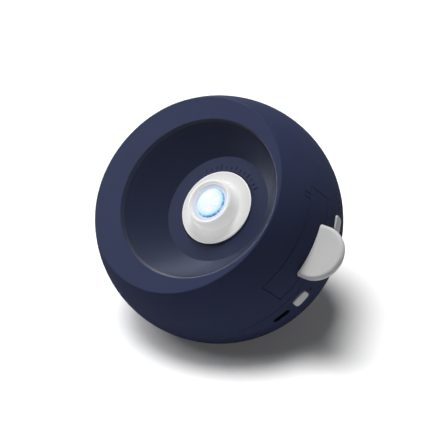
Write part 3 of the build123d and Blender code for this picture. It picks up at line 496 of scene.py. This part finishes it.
def lens_glass(name, colour):
    """Polished lens glass, with its gloss uneven by a trace of dust."""
    material, tree, surface = new_material(name)
    glass = tree.nodes.new("ShaderNodeBsdfPrincipled")
    glass.inputs["Base Color"].default_value = colour
    glass.inputs["IOR"].default_value = glass_index
    dust = noise(tree, dust_size, detail=3)
    put(tree, between(tree, dust, *noise_middle, *glass_roughness), glass.inputs["Roughness"])
    tree.links.new(glass.outputs[0], surface)
    return material


front_glass = lens_glass("front_glass_lit", (0.02, 0.03, 0.05, 1))
light = lens_light(front_glass.node_tree)
front_glass.node_tree.links.new(light, finish_of(front_glass).inputs["Emission Color"])
finish_of(front_glass).inputs["Emission Strength"].default_value = 1
paint(front_glass, "front_lens")
clear_glass = lens_glass("clear_glass", (0.85, 0.93, 1, 1))
finish_of(clear_glass).inputs["Transmission Weight"].default_value = 1
paint(clear_glass, "rear_lens")

# ---------------------------------------------------------------- drawer tab and side buttons
# The thumb tab and the two caps beside it are moulded in light grey plastic with a satin skin.
# The tab's pegs are screwed from inside the drawer's cover, and each cap has a retaining lip.
key_grey = moulded(
    "key_grey_satin", (0.63, 0.63, 0.63, 1), roughness=0.42, grain=0.0003, depth=0.000012,
    specular=0.3, mottling=0.02,
)
paint(key_grey, "drawer_tab", "upper_button", "lower_button")

# ---------------------------------------------------------------- disc tray and drawer bay
# The tray behind the drawer's cover and the channel that it slides in are moulded in grey ABS. The
# tray is screwed to the cover, and the channel hangs from the dish.
tray_grey = moulded(
    "tray_grey", (0.09, 0.095, 0.11, 1), roughness=0.45, grain=0.0004, depth=0.00001, specular=0.4
)
paint(tray_grey, "disc_tray", "drawer_bay")

# ---------------------------------------------------------------- star disc
# The film is black with clear specks for the stars. It lies in a toothed carrier of natural acetal
# that turns on its hub in the tray, and a steel ring holds it down.
acetal = moulded("acetal", (0.72, 0.72, 0.69, 1), roughness=0.38, grain=0.0006, depth=0.000005, mottling=0.02)
paint(acetal, "disc_gear")
paint(ground_steel, "film_clamp")
specks_per_metre = 900
speck_size = 0.16
film_black = (0.006, 0.008, 0.02, 1)
speck_white = (0.75, 0.85, 1, 1)
star_film, tree, surface = new_material("star_film_specks")
film = tree.nodes.new("ShaderNodeBsdfPrincipled")
specks = tree.nodes.new("ShaderNodeTexVoronoi")
specks.inputs["Scale"].default_value = specks_per_metre
tree.links.new(coordinates(tree), specks.inputs["Vector"])
star = maths(tree, "LESS_THAN", specks.outputs["Distance"], speck_size)
put(tree, blend(tree, of_colours, star, film_black, speck_white), film.inputs["Base Color"])
film.inputs["Roughness"].default_value = 0.12
tree.links.new(film.outputs[0], surface)
paint(star_film, "star_film")

# ---------------------------------------------------------------- drive
# A small motor in a drawn steel can turns the star disc through a gearbox and a pinion of acetal,
# on a ground steel shaft. It is screwed to the drawer bay.
drawn_can = metal("drawn_can", (0.6, 0.6, 0.6, 1), roughness=0.36, line_size=0.0005, line_depth=0.000006)
paint(drawn_can, "drive_motor")
paint(acetal, "drive_gearbox", "drive_pinion")
paint(ground_steel, "drive_shaft")

# ---------------------------------------------------------------- lamp
# A white emitter on an aluminium board, on a turned and anodised heat sink. In the black housing
# over them a steel ring holds the condenser lens. All are screwed under the drawer bay.
aluminium = metal(
    "anodised_aluminium", (0.72, 0.73, 0.74, 1), roughness=0.42, line_size=0.0002, line_depth=0.000008
)
paint(aluminium, "led_board", "heat_sink")
lamp_resin = moulded("lamp_resin", (0.85, 0.87, 0.9, 1), roughness=0.2, grain=0.001, depth=0.000004)
paint(lamp_resin, "led_emitter")
paint(matt_black, "lamp_housing")
paint(clear_glass, "condenser_lens")
paint(ground_steel, "condenser_ring")

# ---------------------------------------------------------------- board and switches
# A crescent of green circuit board lies along the side of the ball. Black chips and the two
# switches are soldered to it, with acetal plungers under the caps and small lights at the windows.
solder_mask = moulded(
    "solder_mask", (0.015, 0.11, 0.045, 1), roughness=0.28, grain=0.0009, depth=0.00001, coat=0.3
)
paint(solder_mask, "main_board")
paint(matt_black, "board_chips", "upper_switch", "lower_switch")
paint(acetal, "upper_plunger", "lower_plunger")
paint(lamp_resin, "indicator_leds")

# ---------------------------------------------------------------- charging port
# An oval port with a drawn steel shell, plated with dark nickel and soldered to the board's edge. The
# contacts are on a black moulded tongue in the middle of it.
dark_nickel = metal(
    "dark_nickel_plate", (0.05, 0.05, 0.053, 1), roughness=0.4, line_size=0.0004, line_depth=0.000004
)
paint(dark_nickel, "usb_socket")
paint(matt_black, "usb_tongue")

# ---------------------------------------------------------------- indicator windows
# Pin-head light guides of smoked acrylic, pressed into the rear shell from inside so that they end
# a little below its surface, over the lights on the board.
smoked_acrylic = moulded(
    "smoked_acrylic", (0.004, 0.004, 0.006, 1), roughness=0.3, grain=0.001, depth=0.000003, specular=0.1
)
paint(smoked_acrylic, "indicator_windows")

# ---------------------------------------------------------------- battery
# A round cell in a blue shrink sleeve lies in a black moulded cradle. A steel strap screwed across
# it holds it down.
shrink_sleeve = moulded(
    "shrink_sleeve", (0.04, 0.16, 0.42, 1), roughness=0.25, grain=0.004, depth=0.00003, coat=0.2
)
paint(shrink_sleeve, "battery_cell")
paint(matt_black, "battery_cradle")
paint(ground_steel, "battery_strap")

# ---------------------------------------------------------------- screws
# Pan-head steel screws with a clear zinc plate, turned and rolled. They hold the shells, the dish
# and floor plate, and all that is mounted on them.
zinc = metal("zinc_plate", (0.56, 0.56, 0.57, 1), roughness=0.34, line_size=0.0003, line_depth=0.00001)
paint(
    zinc, "tab_screws", "tray_screws", "drive_screws", "lamp_screws", "bay_screws", "dish_screws",
    "floor_screws", "board_screws", "shell_screws", "strap_screws", "cradle_screws",
)

# ---------------------------------------------------------------- ballast and foot
# A cast iron plate at the bottom keeps the ball from rolling. Under it, a soft black rubber
# disc is glued into the flat on the underside.
cast_ballast = metal(
    "cast_ballast", (0.18, 0.18, 0.19, 1), roughness=0.62, line_size=0.0005, line_depth=0.00008
)
paint(cast_ballast, "ballast_plate")
foot_rubber = moulded(
    "foot_rubber", (0.03, 0.03, 0.032, 1), roughness=0.75, grain=0.0006, depth=0.00003, specular=0.3
)
paint(foot_rubber, "foot_pad")
